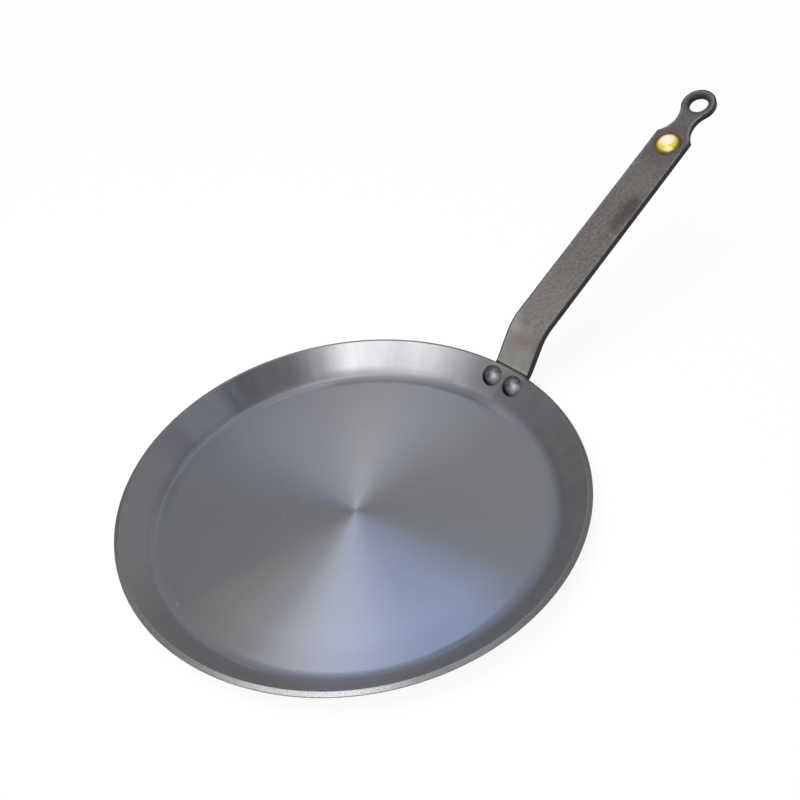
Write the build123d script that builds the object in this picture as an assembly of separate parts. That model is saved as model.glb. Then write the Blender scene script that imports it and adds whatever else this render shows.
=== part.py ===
from build123d import *

import os
from math import asin, atan2, cos, radians, sin, sqrt, tan

# Crepe pan: a shallow pressed steel dish with a bent strip handle, held by two rivets.
# Units are millimetres. The origin is the centre of the base, on the surface that the pan stands on.
# +Z points up, and the handle runs out along +X. The pan is symmetric about the XZ plane.

# Dish
rim_diameter = 260.8  # to the rim's corner; its broken edge leaves 260 over the finished rim
rim_height = 15.8  # the rim's corner above the base
sheet = 3.0  # gauge of the steel sheet
wall_slope = 40.0  # degrees, wall above the horizontal
floor_bend_radius = 10.0  # inside radius between floor and wall
rim_grind_slope = 24.0  # degrees, ground face of the rim above the horizontal
rim_edge_radius = 0.5  # broken edges of the ground rim

# Handle strip
strip = 4.0  # thickness
strip_width = 25.2  # at the elbow
root_waist = 0.2  # the strip is narrower by this on each side where it passes the rim
shoulder_taper = 0.3  # and by this at the shoulders
width_blend_radius = 12.0  # where the width changes below the elbow
foot_lift = 2.1  # lower corner of the foot above the base
foot_margin = 3.6  # from the rivets' formed tails to the sides of the foot's end
foot_corner_radius = 5.0
foot_press = 0.1  # the foot is pressed to the wall by this much more than the strip above it
rim_bend_radius = 10.0  # gentle turn just above the rim
elbow_reach = 15.7  # the elbow's corner, outwards from the rim's edge
elbow_rise = 21.15  # the elbow's corner, up from the rim's edge
elbow_bend_radius = 22.0  # on the underside of the strip
grip_slope = 22.67  # degrees, grip above the horizontal
shoulder_radius = 1.8
eye_distance = 179.0  # along the grip, from the elbow's corner to the hanging hole
eye_wall = 4.95  # between the hanging hole and the outside of the eye
neck_width = 13.4
neck_radius = 16.0  # hollow sides of the neck
hole_diameter = 12.0
hole_top_bevel = 0.9
hole_bottom_bevel = 0.5
strip_edge_radius = 0.8  # rounded long edges of the strip

# Rivets
rivet_gap = 2.7  # between the two heads
rivet_margin = 1.0  # from the rim's inner edge down the wall to the heads
shank_diameter = 5.5
rivet_head_diameter = 12.7
rivet_head_height = 3.5
rivet_tail_diameter = 8.0
rivet_tail_height = 2.0
rivet_seat = 0.3  # upright side of a head, and the depth that is formed to the wall's curve

# Medallion
medallion_setback = 33.2  # from the hanging hole back along the grip
medallion_diameter = 17.2
recess_depth = 1.0
cup_gauge = 0.4  # floor of the cup
cup_lip_width = 1.6
cup_lip_stand = 0.3  # lip above the face of the strip
cup_lip_radius = 0.15
foil_gauge = 0.2
dome_rise = 1.7  # crown of the dome above the cup's lip

# Fits
rivet_clearance = 0.05  # radial, shank in its holes
recess_clearance = 0.1  # radial, cup in its recess
foil_clearance = 0.05  # radial, foil and dome in the cup
overrun = 2.0  # extra reach of the cutting tools

# Sizes that follow from those above
slope = radians(wall_slope)
grip_angle = radians(grip_slope)
quarter_turn = radians(90)


def along(point, angle, distance):
    """Point of the XZ plane at a distance from another, in a direction above the X axis."""
    return (point[0] + distance * cos(angle), point[1] + distance * sin(angle))


# The wall's outer face rises from the edge of the base to the rim's corner, one gauge from its inner face
rim_outer = (rim_diameter / 2, rim_height)
base_edge = along(rim_outer, slope, -rim_height / sin(slope))
grind_angle = radians(180 - rim_grind_slope)
rim_inner = along(rim_outer, grind_angle, sheet / cos(grind_angle - slope - quarter_turn))
floor_edge = along(rim_inner, slope, (sheet - rim_inner[1]) / sin(slope))

# The rivets stand side by side just below the rim, and the foot of the handle is as wide as they need
rivet_spacing = rivet_head_diameter + rivet_gap
rivet_drop = rivet_head_diameter / 2 + rivet_margin
root_width = strip_width - 2 * root_waist
foot_width = rivet_spacing + rivet_tail_diameter + 2 * foot_margin

# The upper face of the strip lies on the wall's outer face, then rises from the rim to the elbow
elbow = (rim_outer[0] + elbow_reach, rim_outer[1] + elbow_rise)
strip_rim = along(rim_outer, slope - quarter_turn, foot_press)
foot_end = along(strip_rim, slope, (foot_lift + strip * cos(slope) - strip_rim[1]) / sin(slope))
rise_angle = atan2(elbow[1] - strip_rim[1], elbow[0] - strip_rim[0])
rise_start = along(strip_rim, slope, rim_bend_radius * tan((rise_angle - slope) / 2))
elbow_tangent = (elbow_bend_radius + strip) * tan((rise_angle - grip_angle) / 2)
grip_start = along(elbow, grip_angle, elbow_tangent + strip)
medallion_distance = eye_distance - medallion_setback

# Plane on the upper face of the grip: X runs along the grip from the elbow, Z points out of the face
grip_plane = Plane(
    origin=(elbow[0], 0, elbow[1]),
    x_dir=(cos(grip_angle), 0, sin(grip_angle)),
    z_dir=(-sin(grip_angle), 0, cos(grip_angle)),
)


def lathe(outline):
    """Solid turned about Z from a closed outline of radius and height."""
    return revolve(Plane.XZ * make_face(outline), Axis.Z)


def pan_blank():
    """The pressed dish before it is drilled."""
    points = [(0, 0), base_edge, rim_outer, rim_inner, floor_edge, (0, sheet)]
    outer_bend_radius = floor_bend_radius + sheet
    radii = [0, outer_bend_radius, rim_edge_radius, rim_edge_radius, floor_bend_radius, 0]
    return lathe(FilletPolyline(*points, radius=radii, close=True))


def rivet_plane(side):
    """Plane on the wall's inner face at a rivet: Z runs along the rivet's axis, into the dish."""
    radius, height = along(rim_inner, slope, -rivet_drop)
    turn = asin(side * rivet_spacing / 2 / radius)
    return Plane(
        origin=(radius * cos(turn), radius * sin(turn), height),
        x_dir=(cos(slope) * cos(turn), cos(slope) * sin(turn), sin(slope)),
        z_dir=(-sin(slope) * cos(turn), -sin(slope) * sin(turn), cos(slope)),
    )


def rivet_drill(side):
    """Drill for a rivet hole, through the wall and the foot of the handle."""
    reach = sheet + strip + overrun
    return rivet_plane(side) * Cylinder(shank_diameter / 2 + rivet_clearance, 2 * reach)


def pan_body():
    """The dish with its two rivet holes."""
    return pan_blank() - rivet_drill(1) - rivet_drill(-1)


def root_outline(inset):
    """Outline from above of the foot, rise and elbow, drawn inside the edge by the inset."""
    flare = (foot_width - root_width) / 2
    flare_share = overrun / (strip_rim[0] - foot_end[0])
    half_widths = [
        (foot_end[0] - overrun, foot_width / 2 + flare * flare_share - inset),
        (strip_rim[0], root_width / 2 - inset),
        (elbow[0] - elbow_tangent, strip_width / 2 - inset),
        (grip_start[0] + overrun, strip_width / 2 - inset),
    ]
    points = half_widths + [(x, -y) for x, y in reversed(half_widths)]
    side_radii = [0, width_blend_radius, width_blend_radius, 0]
    return make_face(FilletPolyline(*points, radius=side_radii * 2, close=True))


def strip_root():
    """Foot, rise and elbow of the strip, bent from one thickness."""
    bends = [rim_bend_radius, elbow_bend_radius + strip]
    spine = FilletPolyline(foot_end, rise_start, elbow, grip_start, radius=bends)
    band = make_face(offset(spine, strip, side=Side.RIGHT))
    bent = extrude(Plane.XZ * band, foot_width, both=True)
    return bent & extrude(root_outline(0), grip_start[1] + overrun)


def foot_pad():
    """Steel between the flat face of the foot and the round wall, before it is cut to the wall."""
    depth = foot_press + rim_outer[0] - sqrt(rim_outer[0] ** 2 - (foot_width / 2) ** 2)
    top = along(strip_rim, slope, -2 * rim_edge_radius)
    corners = [foot_end, top, along(top, slope + quarter_turn, depth)]
    corners.append(along(foot_end, slope + quarter_turn, depth))
    pad = extrude(Plane.XZ * make_face(Polyline(*corners, close=True)), foot_width, both=True)
    return pad & extrude(root_outline(strip_edge_radius), rim_outer[1])


def grip_outline():
    """Outline of the grip, shoulders, neck and eye, on the plane of the grip."""
    start = elbow_tangent + strip
    shoulder_width = strip_width - 2 * shoulder_taper
    eye_radius = hole_diameter / 2 + eye_wall
    neck_side = neck_width / 2 + neck_radius
    centres_apart = eye_radius + neck_radius
    neck_from_eye = sqrt(centres_apart**2 - neck_side**2)
    neck = eye_distance - neck_from_eye
    neck_end = eye_distance - neck_from_eye * eye_radius / centres_apart
    half_widths = [(start, strip_width / 2), (neck_end, shoulder_width / 2)]
    points = half_widths + [(x, -y) for x, y in reversed(half_widths)]
    outline = make_face(Polyline(*points, close=True))
    for side in (1, -1):
        outline -= Pos(neck, side * neck_side) * Circle(neck_radius)
    shoulders = [v for v in outline.vertices() if start + strip < v.X < neck]
    return fillet(shoulders, shoulder_radius) + Pos(eye_distance, 0) * Circle(eye_radius)


def outer_edges(faces):
    """Edges that only one of the faces has: the outline of a skin made of several faces."""
    edges = [edge for face in faces for edge in face.edges()]
    return [edge for edge in edges if sum(edge.is_same(other) for other in edges) == 1]


def handle_blank():
    """The bent strip with rounded foot corners and long edges, before it is pressed and pierced."""
    blank = strip_root() + extrude(grip_plane * grip_outline(), -strip)
    foot_face = blank.faces().sort_by(Axis.X)[0]
    corners = [edge for edge in foot_face.edges() if abs(edge.center().Y) > foot_width / 4]
    blank = fillet(corners, foot_corner_radius)
    steepest_side = (sin(grip_angle) + cos(rise_angle)) / 2
    upper = [face for face in blank.faces() if face.normal_at().Z > steepest_side]
    under = [face for face in blank.faces() if face.normal_at().Z < -steepest_side]
    lower = [face for face in under if face.normal_at().X > 0]
    return fillet(outer_edges(upper) + outer_edges(lower), strip_edge_radius)


def hole_cutter():
    """Cutter for the hanging hole, with the bevels of both faces."""
    radius = hole_diameter / 2
    points = [
        (0, overrun),
        (radius + hole_top_bevel + overrun, overrun),
        (radius, -hole_top_bevel),
        (radius, hole_bottom_bevel - strip),
        (radius + hole_bottom_bevel + overrun, -strip - overrun),
        (0, -strip - overrun),
    ]
    return grip_plane * Pos(eye_distance, 0) * lathe(Polyline(*points, close=True))


def handle():
    """The finished handle: foot cut to the wall, rivet holes, recess and hanging hole."""
    body = handle_blank() + foot_pad() - pan_blank()
    body -= rivet_drill(1) + rivet_drill(-1)
    recess = Cylinder(medallion_diameter / 2 + recess_clearance, 2 * recess_depth)
    body -= grip_plane * Pos(medallion_distance, 0) * recess
    return body - hole_cutter()


def rivet(side, wall, foot):
    """A rivet: its domed head lies inside the dish and its formed tail on the foot of the handle."""
    head_radius = rivet_head_diameter / 2
    tail_radius = rivet_tail_diameter / 2
    shank_radius = shank_diameter / 2
    tail_seat = -sheet - strip
    tail_edge = tail_seat - 2 * rivet_seat
    head_top = (0, rivet_head_height)
    tail_top = (0, tail_edge - rivet_tail_height)
    outline = TangentArc(head_top, (head_radius, rivet_seat), tangent=(1, 0))
    outline += Polyline(
        (head_radius, rivet_seat),
        (head_radius, -rivet_seat),
        (shank_radius, -rivet_seat),
        (shank_radius, tail_seat),
        (tail_radius, tail_seat),
        (tail_radius, tail_edge),
    )
    outline += TangentArc(tail_top, (tail_radius, tail_edge), tangent=(1, 0))
    outline += Line(tail_top, head_top)
    return rivet_plane(side) * lathe(outline) - wall - foot


def on_medallion_floor(piece):
    """Put a piece made about Z on the floor of the recess in the grip."""
    return grip_plane * Pos(medallion_distance, 0, -recess_depth) * piece


def medallion_cup():
    """Shallow round metal cup in the recess."""
    radius = medallion_diameter / 2
    inner = radius - cup_lip_width
    top = recess_depth + cup_lip_stand
    points = [(0, 0), (radius, 0), (radius, top), (inner, top), (inner, cup_gauge), (0, cup_gauge)]
    radii = [0, 0, cup_lip_radius, cup_lip_radius, 0, 0]
    return on_medallion_floor(lathe(FilletPolyline(*points, radius=radii, close=True)))


def medallion_foil():
    """Gold disc on the floor of the cup."""
    radius = medallion_diameter / 2 - cup_lip_width - foil_clearance
    disc = Cylinder(radius, foil_gauge, align=(Align.CENTER, Align.CENTER, Align.MIN))
    return on_medallion_floor(Pos(0, 0, cup_gauge) * disc)


def medallion_dome():
    """Amber resin lens on the gold disc, crowned above the cup's lip."""
    radius = medallion_diameter / 2 - cup_lip_width - foil_clearance
    bottom = cup_gauge + foil_gauge
    edge = recess_depth + cup_lip_stand
    crown = (0, edge + dome_rise)
    outline = TangentArc(crown, (radius, edge), tangent=(1, 0))
    outline += Polyline((radius, edge), (radius, bottom), (0, bottom), crown)
    return on_medallion_floor(lathe(outline))


def main():
    """Build every piece and write one STEP file for each."""
    wall = pan_body()
    strip_handle = handle()
    pieces = {
        "pan_body": wall,
        "handle": strip_handle,
        "rivet_left": rivet(1, wall, strip_handle),
        "rivet_right": rivet(-1, wall, strip_handle),
        "medallion_cup": medallion_cup(),
        "medallion_foil": medallion_foil(),
        "medallion_dome": medallion_dome(),
    }
    os.makedirs("parts", exist_ok=True)
    for name, piece in pieces.items():
        export_step(piece, f"parts/{name}.step")


if __name__ == "__main__":
    main()
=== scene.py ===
from math import cos, radians, sin

import bpy
from mathutils import Matrix, Vector


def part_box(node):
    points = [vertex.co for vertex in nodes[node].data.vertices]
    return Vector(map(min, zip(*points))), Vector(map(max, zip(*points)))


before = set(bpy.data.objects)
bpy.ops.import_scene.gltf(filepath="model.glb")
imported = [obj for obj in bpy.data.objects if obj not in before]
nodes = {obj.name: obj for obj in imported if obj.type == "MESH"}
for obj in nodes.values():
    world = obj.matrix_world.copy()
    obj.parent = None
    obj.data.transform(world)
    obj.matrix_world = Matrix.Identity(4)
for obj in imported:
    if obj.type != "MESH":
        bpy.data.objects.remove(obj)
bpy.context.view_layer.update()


def middle(node):
    """Middle of a piece's box."""
    low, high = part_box(node)
    return (Vector(low) + Vector(high)) / 2


def colour(red, green, blue):
    return (red, green, blue, 1.0)


# Camera, at the photograph's viewing angle
CAMERA_PLACE = Vector((-0.2843, -0.4050, 0.5293))
CAMERA_TARGET = Vector((0.0968, 0.0204, 0.0))
CAMERA_ROLL = radians(-6.94)
CAMERA_LENS = 58.76
CAMERA_SHIFT = (-0.0625, 0.005)
CAMERA_NEAREST = 0.01

# Lamps: azimuth and elevation in degrees and distance in metres from the middle of the dish,
# width and height in metres, watts, colour
LAMPS = {
    "key_lamp": (176, 72, 2.5, 1.56, 1.17, 62, (1.0, 0.98, 1.0)),
    "side_lamp": (118, 69, 0.8, 0.9, 0.24, 1.0, (1.0, 0.95, 0.97)),
    "blue_lamp": (42, 66, 0.8, 0.34, 0.10, 1.4, (0.34, 0.53, 1.0)),
    "front_lamp": (217, 56, 1.5, 0.45, 0.45, 7, (1.0, 1.0, 1.0)),
}
ROOM_LIGHT = 0.1
WHITE = colour(1.0, 1.0, 1.0)

# Floor: FLOOR_LIFT is the share of plain white in what is seen, near the pan and far from it,
# and FLOOR_FADE gives the distances between which one turns to the other
FLOOR_SIZE = 60.0
FLOOR_GAP = 0.0002
FLOOR_GREY = colour(0.8, 0.8, 0.8)
FLOOR_LIFT = (0.93, 1.0)
FLOOR_FADE = (0.35, 1.2)

# Values that the middle part and nearly all of a noise lie between
NOISE_MIDDLE = (0.35, 0.65)
NOISE_RANGE = (0.3, 0.7)

# Ground face of the rim, as the part has it: its corner's radius and height, and its slope.
# GRIND_DEPTH gives the heights over that face between which the grinding starts.
RIM_CORNER = (0.1304, 0.0158)
RIM_GRIND = radians(24)
GRIND_DEPTH = (-0.0003, -0.00005)

# Stretch of the dish's highlights, and the turn that sets them square to the turning marks
TURNED_STRETCH = 0.77
QUARTER_TURN = 0.25

# Radii of the dish between which a tone starts or ends
INNER_RINGS = (0.01, 0.07)
FLOOR_EDGE = (0.084, 0.104)
FLOOR_TO_WALL = (0.1075, 0.1135)
WALL_FOOT = (0.112, 0.121)
RIM_LIP = (0.1271, 0.1277)

# Rings at the bend between floor and wall: the radii where each starts, is full, fades and ends
FOLD = (0.1040, 0.1090, 0.1115, 0.1165)
DARK_FOLD = (0.1035, 0.1070, 0.1100, 0.1135)
BLUE_FOLD = (0.1045, 0.1075, 0.1110, 0.1160)
FOLD_LINE = (0.1096, 0.1106, 0.1110, 0.1120)

# Sectors of the dish: the azimuth, and the angles from it where each ends and where it is full
NEAR_SIDE = (225, 75, 30)
DARK_FOLD_SECTOR = (27, 34, 18)
BLUE_FOLD_SECTOR = (240, 55, 25)
RIM_HIGHLIGHT_SECTOR = (282, 42, 22)

# Sectors of the floor and the wall with painted light and painted shade: sector, strength, colour
FLOOR_PAINTED_LIGHT = (
    ((58, 42, 16), 1.0, colour(0.168, 0.160, 0.150)),
    ((222, 28, 10), 1.0, colour(0.153, 0.156, 0.164)),
    ((179, 14, 4), 0.7, colour(0.152, 0.152, 0.152)),
)
WALL_PAINTED_LIGHT_AND_SHADE = (
    ((20, 26, 10), 1.0, colour(0.135, 0.133, 0.139)),
    ((47, 20, 8), 0.6, colour(0.082, 0.082, 0.085)),
    ((75, 15, 6), 0.7, colour(0.070, 0.070, 0.073)),
    ((94, 10, 3), 0.8, colour(0.145, 0.142, 0.150)),
)

# Painted reflection of the brown handle on the wall: how far out it starts, and how far it goes to
# each side of the handle
TINT_START = (0.1235, 0.1270)
TINT_HALF_WIDTH = (0.0115, 0.0135)

# Colours of the dish: one each, or two that a noise mixes
# Painted light: the floor is lighter on the handle's side and darker away from it
SHADED_FLOOR = (colour(0.118, 0.121, 0.124), colour(0.136, 0.137, 0.139))
LIT_FLOOR = (colour(0.165, 0.170, 0.175), colour(0.185, 0.188, 0.194))
# Painted shade on the floor by its edge, on the near side
PAINTED_EDGE_SHADE = colour(0.09, 0.09, 0.09)
# Painted light on the near wall and painted shade on the wall by the handle
NEAR_WALL = (colour(0.150, 0.150, 0.157), colour(0.172, 0.170, 0.178))
FAR_WALL = (colour(0.098, 0.097, 0.102), colour(0.117, 0.115, 0.121))
PALE_STREAK = colour(0.205, 0.205, 0.212)
# Painted light at the foot of the near wall
PAINTED_FOOT_LIGHT = colour(0.195, 0.195, 0.203)
PALE_RING = colour(0.22, 0.22, 0.23)
DARK_ARC = colour(0.08, 0.08, 0.085)
# Colours of the bend: grey and black painted shade, and a brown tone
FOLD_GREY = colour(0.085, 0.085, 0.090)
FOLD_BROWN = colour(0.085, 0.078, 0.066)
FOLD_BLACK = colour(0.040, 0.040, 0.042)
# Painted blue reflection in the bend
FOLD_BLUE = colour(0.110, 0.122, 0.152)
# Painted highlight line in the bend
FOLD_BRIGHT = colour(0.24, 0.23, 0.22)
GROUND_RIM = (colour(0.122, 0.124, 0.121), colour(0.170, 0.173, 0.169))
# Painted highlight on the rim's ground face, in one sector
RIM_HIGHLIGHT = colour(0.235, 0.235, 0.228)
# Painted shade on the rim's lip
DARK_LIP = colour(0.050, 0.044, 0.038)
# Painted reflection of the brown handle on the wall and rim
WALL_BROWN = (colour(0.16, 0.135, 0.115), colour(0.21, 0.185, 0.16))

# Strip of the handle, as the part has it: half its width, and the way that its grip faces
STRIP_HALF = 0.0126
GRIP_NORMAL = Vector((-0.3854, 0.0, 0.9227))
# Reach of the rubbed edges with their painted highlight
EDGE_RUB_AND_LIGHT = 0.0026
SIDE_BORDER = (STRIP_HALF - 0.0015, STRIP_HALF - 0.0009)

# Places along the handle, by X: where the painted shade under the rim and the pale steel end, the
# elbow and the eye.
# The height pair gives the heights between which that painted shade starts.
RIM_CONTACT_SHADE_END = (0.1306, 0.1312)
RIM_CONTACT_SHADE_HEIGHT = (0.0110, 0.0140)
PALE_END = (0.1460, 0.1580)
PALE_TRACE = (0.1600, 0.2150)
ELBOW = (0.16, 0.17)
EYE_START = (0.292, 0.302)
EYE_ROUND = (0.3030, 0.3060)

# Marks on the handle: their middles, and the distances between which they fade
BEND_PLACE = Vector((0.1415, 0.0005, 0.0310))
BEND_FADE = (0.005, 0.016)
MEDALLION_PLACE = middle("medallion_cup")
HEAT_FADE = (0.016, 0.027)
PLAIN_BY_MEDALLION = (0.0170, 0.0200)
STAIN_PLACE = MEDALLION_PLACE + Vector((-0.049, -0.0062, -0.0201))
STAIN_FADE = (0.018, 0.036)
HOLE_PLACE = Vector((0.3113, 0.0, 0.1059))
HOLE_RING = (0.0076, 0.0088)
EYE_BORDER = (0.0095, 0.0101)

# Scale that draws a pattern out along the strip
LENGTHWISE = (1.0, 2.6, 1.0)

# Colours of the handle: one each, or two that a noise mixes
MILL_SCALE = (colour(0.072, 0.063, 0.052), colour(0.098, 0.086, 0.070))
SCALE_RUST = colour(0.115, 0.084, 0.064)
SCALE_BLOTCH = colour(0.048, 0.043, 0.040)
SCALE_GRAIN = colour(0.036, 0.031, 0.027)
PALE_STEEL = (colour(0.165, 0.162, 0.149), colour(0.225, 0.220, 0.202))
PALE_GRAIN = colour(0.120, 0.115, 0.105)
BEND_BROWN = colour(0.180, 0.137, 0.109)
STAIN = colour(0.028, 0.022, 0.019)
HEAT_TINT = colour(0.045, 0.036, 0.040)
DARK_EYE = colour(0.050, 0.046, 0.042)
# Rubbed edges with a painted highlight on them
RUBBED_AND_LIT_EDGE = colour(0.21, 0.20, 0.185)
# Painted shade on the handle's sides and on the border next to them
DARK_SIDE = colour(0.020, 0.018, 0.017)
# Painted shade round the hole
DARK_RING = colour(0.022, 0.020, 0.018)
# Painted shade where the strip comes out from under the rim
RIM_CONTACT_SHADE = colour(0.006, 0.005, 0.004)

# Rivets: the sides of their heads with a painted highlight and with painted shade, and their
# colours
RIVET_LIT_SIDE = Vector((-0.530, -0.680, -0.510))
RIVET_SHADED_SIDE = Vector((-0.650, 0.500, -0.573))
RIVET_BRIGHT = (colour(0.150, 0.148, 0.152), colour(0.215, 0.212, 0.216))
RIVET_DARK = (colour(0.050, 0.049, 0.052), colour(0.075, 0.073, 0.077))
RIVET_SHADE = colour(0.012, 0.011, 0.014)

# Medallion: the middles of the disc and of its cream patch, a painted highlight, the distances
# where they end, and the colours, with painted shade at the disc's rim
FOIL_MIDDLE = middle("medallion_foil")
CREAM_PLACE = FOIL_MIDDLE + Vector((0.0019, 0.0015, 0.0008))
CREAM_END = (0.0045, 0.0075)
DISC_END = (0.0053, 0.0068)
CUP_BRASS = (colour(0.070, 0.058, 0.006), colour(0.066, 0.029, 0.007))
# Cream patch: a painted highlight
CREAM = colour(0.96, 0.81, 0.60)
YELLOW = colour(0.72, 0.58, 0.03)
# Painted shade at the rim of the disc
DARK_GOLD = colour(0.26, 0.17, 0.01)


class Graph:
    """Nodes of a material or a world, with short calls that return output sockets."""

    def __init__(self, owner, output):
        owner.use_nodes = True
        self.owner = owner
        self.tree = owner.node_tree
        self.tree.nodes.clear()
        self.output = self.add(output)

    def feed(self, socket, value):
        """Link a socket to another, or set its value."""
        if isinstance(value, bpy.types.NodeSocket):
            self.tree.links.new(value, socket)
        else:
            socket.default_value = value

    def add(self, kind, inputs=None, **settings):
        """A node with its settings and inputs."""
        node = self.tree.nodes.new("ShaderNode" + kind)
        for key, value in settings.items():
            setattr(node, key, value)
        for key, value in (inputs or {}).items():
            self.feed(node.inputs[key], value)
        return node

    def surface(self, socket):
        """Join a shader to the output."""
        self.feed(self.output.inputs["Surface"], socket)

    def math(self, operation, first, second=0.0):
        return self.add("Math", {0: first, 1: second}, operation=operation).outputs[0]

    def plus(self, first, second):
        return self.math("ADD", first, second)

    def times(self, first, second):
        return self.math("MULTIPLY", first, second)

    def step(self, value, low, high, to_low=0.0, to_high=1.0):
        """A smooth change from to_low to to_high while the value goes from low to high."""
        inputs = {
            "Value": value,
            "From Min": low,
            "From Max": high,
            "To Min": to_low,
            "To Max": to_high,
        }
        node = self.add("MapRange", inputs, interpolation_type="SMOOTHSTEP")
        return node.outputs["Result"]

    def ring(self, value, start, full, edge_shade, end):
        """A mask that rises from start to full and falls again from fading to end."""
        return self.times(self.step(value, start, full), self.step(value, edge_shade, end, 1.0, 0.0))

    def mix(self, factor, first, second):
        """Colour between two others."""
        node = self.add("Mix", {"Factor": factor}, data_type="RGBA")
        self.feed(node.inputs["A"], first)
        self.feed(node.inputs["B"], second)
        return node.outputs["Result"]

    def noise(self, vector, scale, detail):
        inputs = {"Vector": vector, "Scale": scale, "Detail": detail}
        return self.add("TexNoise", inputs).outputs["Fac"]

    def point(self):
        """Place on the object, in metres."""
        return self.add("TexCoord").outputs["Object"]

    def normal(self):
        return self.add("NewGeometry").outputs["Normal"]

    def split(self, vector):
        """X, Y and Z of a vector."""
        return tuple(self.add("SeparateXYZ", {0: vector}).outputs)

    def vector(self, x, y, z):
        return self.add("CombineXYZ", {"X": x, "Y": y, "Z": z}).outputs[0]

    def stretch(self, vector, scale):
        return self.add("Mapping", {0: vector, "Scale": scale}).outputs[0]

    def length(self, vector):
        return self.add("VectorMath", {0: vector}, operation="LENGTH").outputs["Value"]

    def distance(self, vector, place):
        inputs = {0: vector, 1: place}
        return self.add("VectorMath", inputs, operation="DISTANCE").outputs["Value"]

    def dot(self, vector, way):
        """How far a vector points one way."""
        inputs = {0: vector, 1: way}
        return self.add("VectorMath", inputs, operation="DOT_PRODUCT").outputs["Value"]

    def bump(self, height, distance, strength=1.0):
        inputs = {"Height": height, "Distance": distance, "Strength": strength}
        return self.add("Bump", inputs).outputs["Normal"]

    def seen(self):
        """1 for what is seen, straight or in metal and through glass, and 0 for other light."""
        path = self.add("LightPath").outputs
        seen = self.math("MAXIMUM", path["Is Camera Ray"], path["Is Glossy Ray"])
        return self.math("MAXIMUM", seen, path["Is Transmission Ray"])

    def shader(self, **inputs):
        """The principled shader, joined to the output."""
        names = {key.replace("_", " "): value for key, value in inputs.items()}
        node = self.add("BsdfPrincipled", names)
        self.surface(node.outputs["BSDF"])
        return node


class MaterialGraph(Graph):
    """Nodes of one new material."""

    def __init__(self, name):
        super().__init__(bpy.data.materials.new(name), "OutputMaterial")


class DishGraph(MaterialGraph):
    """Nodes of the dish's material, with the radius and direction of a point from the Z axis."""

    def __init__(self, name):
        super().__init__(name)
        self.place = self.point()
        self.x, self.y, self.z = self.split(self.place)
        self.radius = self.length(self.vector(self.x, self.y, 0.0))
        self.across = self.math("DIVIDE", self.x, self.radius)
        self.along = self.math("DIVIDE", self.y, self.radius)
        self.handle_side = self.plus(self.across, self.times(self.along, 0.5))
        self.near = self.sector(NEAR_SIDE)
        self.cloud = self.noise(self.place, 22.0, 4.0)
        self.speck = self.noise(self.place, 1400.0, 2.0)

    def sector(self, sector, strength=1.0):
        """A mask round one azimuth: 0 where the sector ends, and strength where it is full."""
        azimuth, end, full = (radians(angle) for angle in sector)
        across = self.times(self.across, cos(azimuth))
        aim = self.plus(across, self.times(self.along, sin(azimuth)))
        return self.step(aim, cos(end), cos(full), 0.0, strength)

    def circles(self, out, around, detail):
        """Noise drawn out in circles, by its scale along the radius and its scale around."""
        across = self.times(self.across, around)
        along = self.times(self.along, around)
        return self.noise(self.vector(self.times(self.radius, out), across, along), 1.0, detail)


def floor_tone(dish):
    """Floor of the dish: painted light on the handle's side, painted light in sectors, and painted
    shade by the edge on the near side.
    """
    lit_floor_side = dish.math("SUBTRACT", dish.times(dish.x, 0.87), dish.times(dish.y, 0.5))
    shaded_floor = dish.mix(dish.cloud, *SHADED_FLOOR)
    lit_floor = dish.mix(dish.cloud, *LIT_FLOOR)
    # Painted light on the handle's side of the floor
    tone = dish.mix(dish.step(lit_floor_side, -0.12, 0.12), shaded_floor, lit_floor)
    # Painted light in sectors of the floor
    for sector, strength, tone_mark in FLOOR_PAINTED_LIGHT:
        tone = dish.mix(dish.sector(sector, strength), tone, tone_mark)
    # Painted shade on the floor towards the wall, on the near side
    edge_shade = dish.times(dish.near, dish.step(dish.radius, *FLOOR_EDGE, 0.0, 0.30))
    return dish.mix(edge_shade, tone, PAINTED_EDGE_SHADE)


def wall_tone(dish):
    """Wall of the dish: painted shade by the handle and painted light on the near side, painted
    light and shade in sectors, streaks, and painted light at the foot on the near side.
    """
    near_wall = dish.mix(dish.cloud, *NEAR_WALL)
    far_wall = dish.mix(dish.cloud, *FAR_WALL)
    # Painted light on the near wall, painted shade on the wall by the handle
    tone = dish.mix(dish.step(dish.handle_side, -0.6, 0.6), near_wall, far_wall)
    # Painted light and painted shade in sectors of the wall
    for sector, strength, tone_mark in WALL_PAINTED_LIGHT_AND_SHADE:
        tone = dish.mix(dish.sector(sector, strength), tone, tone_mark)
    across = dish.times(dish.across, 10.0)
    along = dish.times(dish.along, 10.0)
    streaks = dish.noise(dish.vector(across, along, dish.times(dish.radius, 25.0)), 1.0, 4.0)
    tone = dish.mix(dish.step(streaks, *NOISE_MIDDLE, 0.0, 0.15), tone, PALE_STREAK)
    # Painted light at the foot of the wall on the near side
    foot = dish.times(dish.near, dish.step(dish.radius, *WALL_FOOT, 0.7, 0.0))
    return dish.mix(foot, tone, PAINTED_FOOT_LIGHT)


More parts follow.
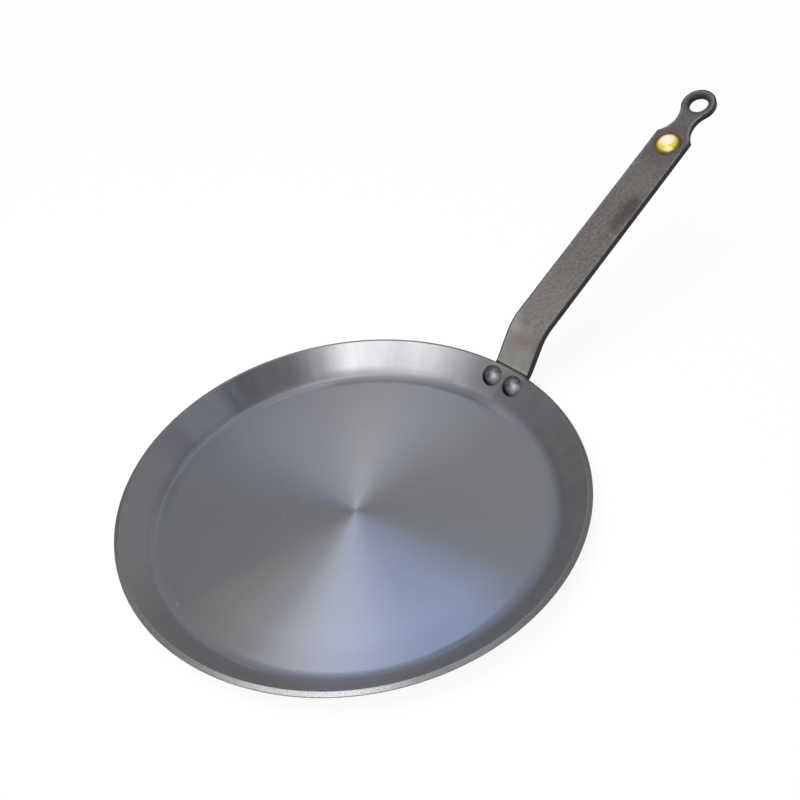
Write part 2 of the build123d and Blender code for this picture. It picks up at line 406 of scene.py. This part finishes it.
def fold_marks(dish, steel, fold):
    """Tones of the bend between floor and wall: painted shade, a brown tone on the +Y side, a
    painted blue reflection on the near side and a fine painted highlight line on the +Y side.
    """
    # Painted shade in the bend
    steel = dish.mix(dish.times(fold, 0.15), steel, FOLD_GREY)
    left_fold = dish.times(fold, dish.step(dish.along, 0.70, 0.88, 0.0, 0.35))
    steel = dish.mix(left_fold, steel, FOLD_BROWN)
    # Deeper painted shade in the bend by the handle's side
    dark_fold = dish.times(dish.ring(dish.radius, *DARK_FOLD), dish.sector(DARK_FOLD_SECTOR, 0.62))
    steel = dish.mix(dark_fold, steel, FOLD_BLACK)
    # Painted blue reflection in the bend on the near side
    blue_fold = dish.times(dish.ring(dish.radius, *BLUE_FOLD), dish.sector(BLUE_FOLD_SECTOR, 0.6))
    steel = dish.mix(blue_fold, steel, FOLD_BLUE)
    # Painted highlight line in the bend on the +Y side
    line = dish.ring(dish.radius, *FOLD_LINE)
    line = dish.times(line, dish.step(dish.along, 0.45, 0.85, 0.0, 0.22))
    return dish.mix(line, steel, FOLD_BRIGHT)


def rim_marks(dish, steel, ground):
    """The rim's ground face, speckled by the grinding, with a painted highlight in one sector, and
    painted shade on its lip except on the near side.
    """
    filed = dish.mix(dish.step(dish.speck, *NOISE_MIDDLE), *GROUND_RIM)
    # Painted highlight on the ground face in one sector
    filed = dish.mix(dish.sector(RIM_HIGHLIGHT_SECTOR, 0.6), filed, RIM_HIGHLIGHT)
    steel = dish.mix(ground, steel, filed)
    # Painted shade on the lip, except on the near side
    far_side = dish.step(dish.handle_side, -0.8, -0.4, 0.0, 0.45)
    lip = dish.times(dish.step(dish.radius, *RIM_LIP), far_side)
    return dish.mix(lip, steel, DARK_LIP)


def dish_steel():
    """Bare carbon steel, turned in circles, with a ground rim, painted light and shade, and a
    painted reflection of the brown handle beside it.
    """
    dish = DishGraph("dish_steel")
    turned = dish.circles(900.0, 1.0, 3.0)
    arcs = dish.circles(2500.0, 9.0, 2.0)
    wall = dish.step(dish.radius, *FLOOR_TO_WALL)
    steel = dish.mix(wall, floor_tone(dish), wall_tone(dish))
    rings = dish.step(dish.radius, *INNER_RINGS, 0.10, 0.04)
    rings = dish.times(dish.step(turned, *NOISE_MIDDLE), rings)
    steel = dish.mix(rings, steel, PALE_RING)
    steel = dish.mix(dish.step(arcs, 0.55, 0.75, 0.0, 0.06), steel, DARK_ARC)
    fold = dish.ring(dish.radius, *FOLD)
    fold = dish.times(fold, dish.step(dish.handle_side, -0.8, 0.0, 0.2, 1.0))
    steel = fold_marks(dish, steel, fold)

    # Height over the ground face, square to it
    outwards = dish.times(dish.math("SUBTRACT", dish.radius, RIM_CORNER[0]), sin(RIM_GRIND))
    upwards = dish.times(dish.math("SUBTRACT", dish.z, RIM_CORNER[1]), cos(RIM_GRIND))
    ground = dish.step(dish.plus(outwards, upwards), *GRIND_DEPTH)
    steel = rim_marks(dish, steel, ground)

    # Painted reflection of the brown handle on the wall and rim beside it
    beside = dish.step(dish.math("ABSOLUTE", dish.y), *TINT_HALF_WIDTH, 1.0, 0.0)
    tinted = dish.times(dish.step(dish.x, *TINT_START, 0.0, 0.8), beside)
    steel = dish.mix(tinted, steel, dish.mix(dish.speck, *WALL_BROWN))

    roughness = dish.plus(dish.times(dish.cloud, 0.05), 0.295)
    roughness = dish.plus(roughness, dish.times(ground, 0.14))
    roughness = dish.plus(roughness, dish.times(fold, 0.16))
    node = dish.shader(
        Base_Color=steel,
        Metallic=1.0,
        Roughness=roughness,
        Anisotropic=TURNED_STRETCH,
        Anisotropic_Rotation=QUARTER_TURN,
        Normal=dish.bump(turned, 0.000001),
    )
    tangent = dish.add("Tangent", direction_type="RADIAL", axis="Z").outputs[0]
    dish.feed(node.inputs["Tangent"], tangent)
    return dish.owner


def handle_steel():
    """Hot-rolled strip with its mill scale on, rubbed along its edges with a painted highlight
    there, and with painted shade on its sides, round its hole and where it comes out from under
    the rim.
    """
    graph = MaterialGraph("handle_steel")
    place = graph.point()
    x, y, z = graph.split(place)
    cloud = graph.noise(graph.stretch(place, LENGTHWISE), 60.0, 6.0)
    blotch = graph.noise(place, 110.0, 4.0)
    grain = graph.noise(place, 650.0, 6.0)
    rust = graph.noise(place, 35.0, 4.0)
    scale = graph.mix(graph.step(cloud, *NOISE_MIDDLE), *MILL_SCALE)
    scale = graph.mix(graph.step(rust, 0.52, 0.70, 0.0, 0.5), scale, SCALE_RUST)
    scale = graph.mix(graph.step(blotch, 0.56, 0.72, 0.0, 0.4), scale, SCALE_BLOTCH)
    scale = graph.mix(graph.step(grain, 0.4, 0.60, 0.0, 0.5), scale, SCALE_GRAIN)

    # Paler, greyer steel next to the dish, browned where it was bent
    grey = graph.mix(cloud, *PALE_STEEL)
    grey = graph.mix(graph.step(grain, 0.4, 0.65, 0.0, 0.3), grey, PALE_GRAIN)
    browned = graph.plus(graph.distance(place, BEND_PLACE), graph.times(blotch, 0.008))
    grey = graph.mix(graph.step(browned, *BEND_FADE, 0.75, 0.0), grey, BEND_BROWN)
    reach = graph.math("SUBTRACT", x, graph.times(y, 0.3))
    reach = graph.plus(reach, graph.times(blotch, 0.014))
    scale = graph.mix(graph.step(reach, *PALE_TRACE, 0.17, 0.0), scale, grey)
    scale = graph.mix(graph.step(reach, *PALE_END, 1.0, 0.0), scale, grey)

    # Dark stain across the grip
    stain = graph.add("VectorMath", {0: place, 1: STAIN_PLACE}, operation="SUBTRACT").outputs[0]
    stain = graph.length(graph.stretch(stain, LENGTHWISE))
    stain = graph.plus(stain, graph.times(blotch, 0.03))
    scale = graph.mix(graph.step(stain, *STAIN_FADE, 0.85, 0.0), scale, STAIN)

    # Heat tint round the medallion and the shoulders, and the darker eye
    heat = graph.plus(graph.distance(place, MEDALLION_PLACE), graph.times(blotch, 0.012))
    scale = graph.mix(graph.step(heat, *HEAT_FADE, 0.5, 0.0), scale, HEAT_TINT)
    scale = graph.mix(graph.step(x, *EYE_START, 0.0, 0.45), scale, DARK_EYE)

    # Rubbed edges with a painted highlight along them, except by the medallion
    normal = graph.normal()
    rounded = graph.add("Bevel", {"Radius": EDGE_RUB_AND_LIGHT}, samples=8).outputs[0]
    bend = graph.step(graph.dot(rounded, normal), 0.985, 0.9993, 0.7, 0.0)
    tone_mark = graph.times(bend, graph.step(grain, 0.35, 0.6, 1.0, 0.5))
    tone_mark = graph.times(tone_mark, graph.step(heat, *PLAIN_BY_MEDALLION))
    scale = graph.mix(tone_mark, scale, RUBBED_AND_LIT_EDGE)

    # Painted shade on the sides and on faces past the elbow that turn away from the grip, with a
    # narrow painted dark border on the faces next to the sides and round the eye
    sideways = graph.step(graph.math("ABSOLUTE", graph.split(normal)[1]), 0.30, 0.75)
    facing = graph.math("ABSOLUTE", graph.dot(normal, GRIP_NORMAL))
    turned_away = graph.times(graph.step(facing, 0.60, 0.97, 1.0, 0.0), graph.step(x, *ELBOW))
    border = graph.step(graph.math("ABSOLUTE", y), *SIDE_BORDER, 0.0, 0.9)
    hole = graph.distance(place, HOLE_PLACE)
    round_eye = graph.times(graph.step(hole, *EYE_BORDER, 0.0, 0.9), graph.step(x, *EYE_ROUND))
    border = graph.math("MAXIMUM", border, round_eye)
    edge = graph.math("MAXIMUM", sideways, graph.math("MAXIMUM", turned_away, border))
    scale = graph.mix(edge, scale, DARK_SIDE)

    # Painted shade in a ring round the hole, and painted shade where the strip comes out from
    # under the rim
    scale = graph.mix(graph.step(hole, *HOLE_RING, 0.85, 0.0), scale, DARK_RING)
    rim_contact_shade = graph.times(graph.step(x, *RIM_CONTACT_SHADE_END, 0.95, 0.0), graph.step(z, *RIM_CONTACT_SHADE_HEIGHT))
    scale = graph.mix(rim_contact_shade, scale, RIM_CONTACT_SHADE)

    graph.shader(
        Base_Color=scale,
        Metallic=0.8,
        Roughness=graph.step(cloud, *NOISE_RANGE, 0.52, 0.66),
        Normal=graph.bump(grain, 0.0001, 0.8),
    )
    return graph.owner


def rivet_steel():
    """Dark rivets, with a painted highlight on one side of their heads and painted shade on the
    other.
    """
    graph = MaterialGraph("rivet_steel")
    cloud = graph.noise(graph.point(), 400.0, 4.0)
    clouded = graph.step(cloud, *NOISE_MIDDLE)
    normal = graph.normal()
    # Painted highlight on one side of each head and painted shade on the other
    tone_mark = graph.step(graph.dot(normal, RIVET_LIT_SIDE), -0.10, 0.45)
    shade_mask = graph.step(graph.dot(normal, RIVET_SHADED_SIDE), 0.10, 0.60)
    steel = graph.mix(tone_mark, graph.mix(clouded, *RIVET_DARK), graph.mix(clouded, *RIVET_BRIGHT))
    graph.shader(
        Base_Color=graph.mix(shade_mask, steel, RIVET_SHADE),
        Metallic=1.0,
        Roughness=graph.step(cloud, *NOISE_RANGE, 0.38, 0.52),
        Normal=graph.bump(cloud, 0.00006, 0.5),
    )
    return graph.owner


def cup_metal():
    """Tarnished brass of the medallion's cup, olive with red-brown patches."""
    graph = MaterialGraph("medallion_metal")
    tarnish = graph.noise(graph.point(), 220.0, 4.0)
    graph.shader(
        Base_Color=graph.mix(graph.step(tarnish, 0.4, 0.6), *CUP_BRASS),
        Metallic=1.0,
        Roughness=graph.step(tarnish, *NOISE_RANGE, 0.42, 0.55),
        Normal=graph.bump(tarnish, 0.00005, 0.4),
    )
    return graph.owner


def two_tone(graph, place, uneven):
    """Painted cream highlight on one side, yellow on the other and painted shade at the rim."""
    spread = graph.plus(graph.distance(place, CREAM_PLACE), graph.times(uneven, 0.002))
    tone = graph.mix(graph.step(spread, *CREAM_END), CREAM, YELLOW)
    return graph.mix(graph.step(graph.distance(place, FOIL_MIDDLE), *DISC_END), tone, DARK_GOLD)


def gold_foil():
    """Bright, slightly crinkled foil under the dome."""
    graph = MaterialGraph("gold_foil")
    place = graph.point()
    crinkle = graph.noise(place, 500.0, 3.0)
    graph.shader(
        Base_Color=two_tone(graph, place, crinkle),
        Metallic=0.2,
        Roughness=graph.step(crinkle, *NOISE_RANGE, 0.42, 0.58),
        Normal=graph.bump(crinkle, 0.00002, 0.1),
    )
    return graph.owner


def amber_resin():
    """Half-clear resin of the dome, in the foil's two tones."""
    graph = MaterialGraph("amber_resin")
    place = graph.point()
    cloud = graph.noise(place, 200.0, 2.0)
    graph.shader(
        Base_Color=two_tone(graph, place, cloud),
        Roughness=graph.step(cloud, *NOISE_RANGE, 0.14, 0.24),
        Transmission_Weight=0.35,
        IOR=1.45,
        Normal=graph.bump(cloud, 0.00001, 0.1),
    )
    return graph.owner


def dress(node, material):
    """Give a CAD node its material."""
    for holder in nodes[node].material_slots:
        holder.material = material


def add_floor():
    """Pale floor that looks white and keeps a faint shadow."""
    mesh = bpy.data.meshes.new("floor")
    half = FLOOR_SIZE / 2
    corners = [(-half, -half), (half, -half), (half, half), (-half, half)]
    mesh.from_pydata([(x, y, -FLOOR_GAP) for x, y in corners], [], [(0, 1, 2, 3)])
    floor = bpy.data.objects.new("floor", mesh)
    bpy.context.scene.collection.objects.link(floor)
    graph = MaterialGraph("floor")
    matte = graph.add("BsdfDiffuse", {"Color": FLOOR_GREY}).outputs[0]
    white = graph.add("Emission", {"Color": WHITE, "Strength": 1.0}).outputs[0]
    lift = graph.step(graph.length(graph.point()), *FLOOR_FADE, *FLOOR_LIFT)
    lift = graph.times(graph.seen(), lift)
    graph.surface(graph.add("MixShader", {0: lift, 1: matte, 2: white}).outputs[0])
    mesh.materials.append(graph.owner)


def add_world():
    """White room: soft for the object, plain white where it is seen."""
    world = bpy.data.worlds.new("room")
    bpy.context.scene.world = world
    graph = Graph(world, "OutputWorld")
    strength = graph.add("MapRange", {"Value": graph.seen(), "To Min": ROOM_LIGHT}).outputs[0]
    graph.surface(graph.add("Background", {"Color": WHITE, "Strength": strength}).outputs[0])


def add_lamp(name, azimuth, elevation, distance, width, height, watts, tint):
    """Soft box that points at the dish."""
    data = bpy.data.lights.new(name, "AREA")
    data.shape = "RECTANGLE"
    data.size = width
    data.size_y = height
    data.energy = watts
    data.color = tint
    lamp = bpy.data.objects.new(name, data)
    bpy.context.scene.collection.objects.link(lamp)
    turn, rise = radians(azimuth), radians(elevation)
    way = Vector((cos(rise) * cos(turn), cos(rise) * sin(turn), sin(rise)))
    lamp.location = way * distance
    lamp.rotation_euler = way.to_track_quat("Z", "Y").to_euler()


def add_camera():
    """Camera of the photograph."""
    data = bpy.data.cameras.new("camera")
    data.lens = CAMERA_LENS
    data.shift_x, data.shift_y = CAMERA_SHIFT
    data.clip_start = CAMERA_NEAREST
    camera = bpy.data.objects.new("camera", data)
    bpy.context.scene.collection.objects.link(camera)
    aim = (CAMERA_TARGET - CAMERA_PLACE).to_track_quat("-Z", "Y").to_matrix()
    roll = Matrix.Rotation(CAMERA_ROLL, 3, "Z")
    camera.location = CAMERA_PLACE
    camera.rotation_euler = (aim @ roll).to_euler()
    bpy.context.scene.camera = camera


dress("pan_body", dish_steel())
dress("handle", handle_steel())
rivets = rivet_steel()
dress("rivet_left", rivets)
dress("rivet_right", rivets)
dress("medallion_cup", cup_metal())
dress("medallion_foil", gold_foil())
dress("medallion_dome", amber_resin())

add_floor()
add_world()
for name, settings in LAMPS.items():
    add_lamp(name, *settings)
add_camera()
bpy.context.scene.view_settings.view_transform = "Standard"
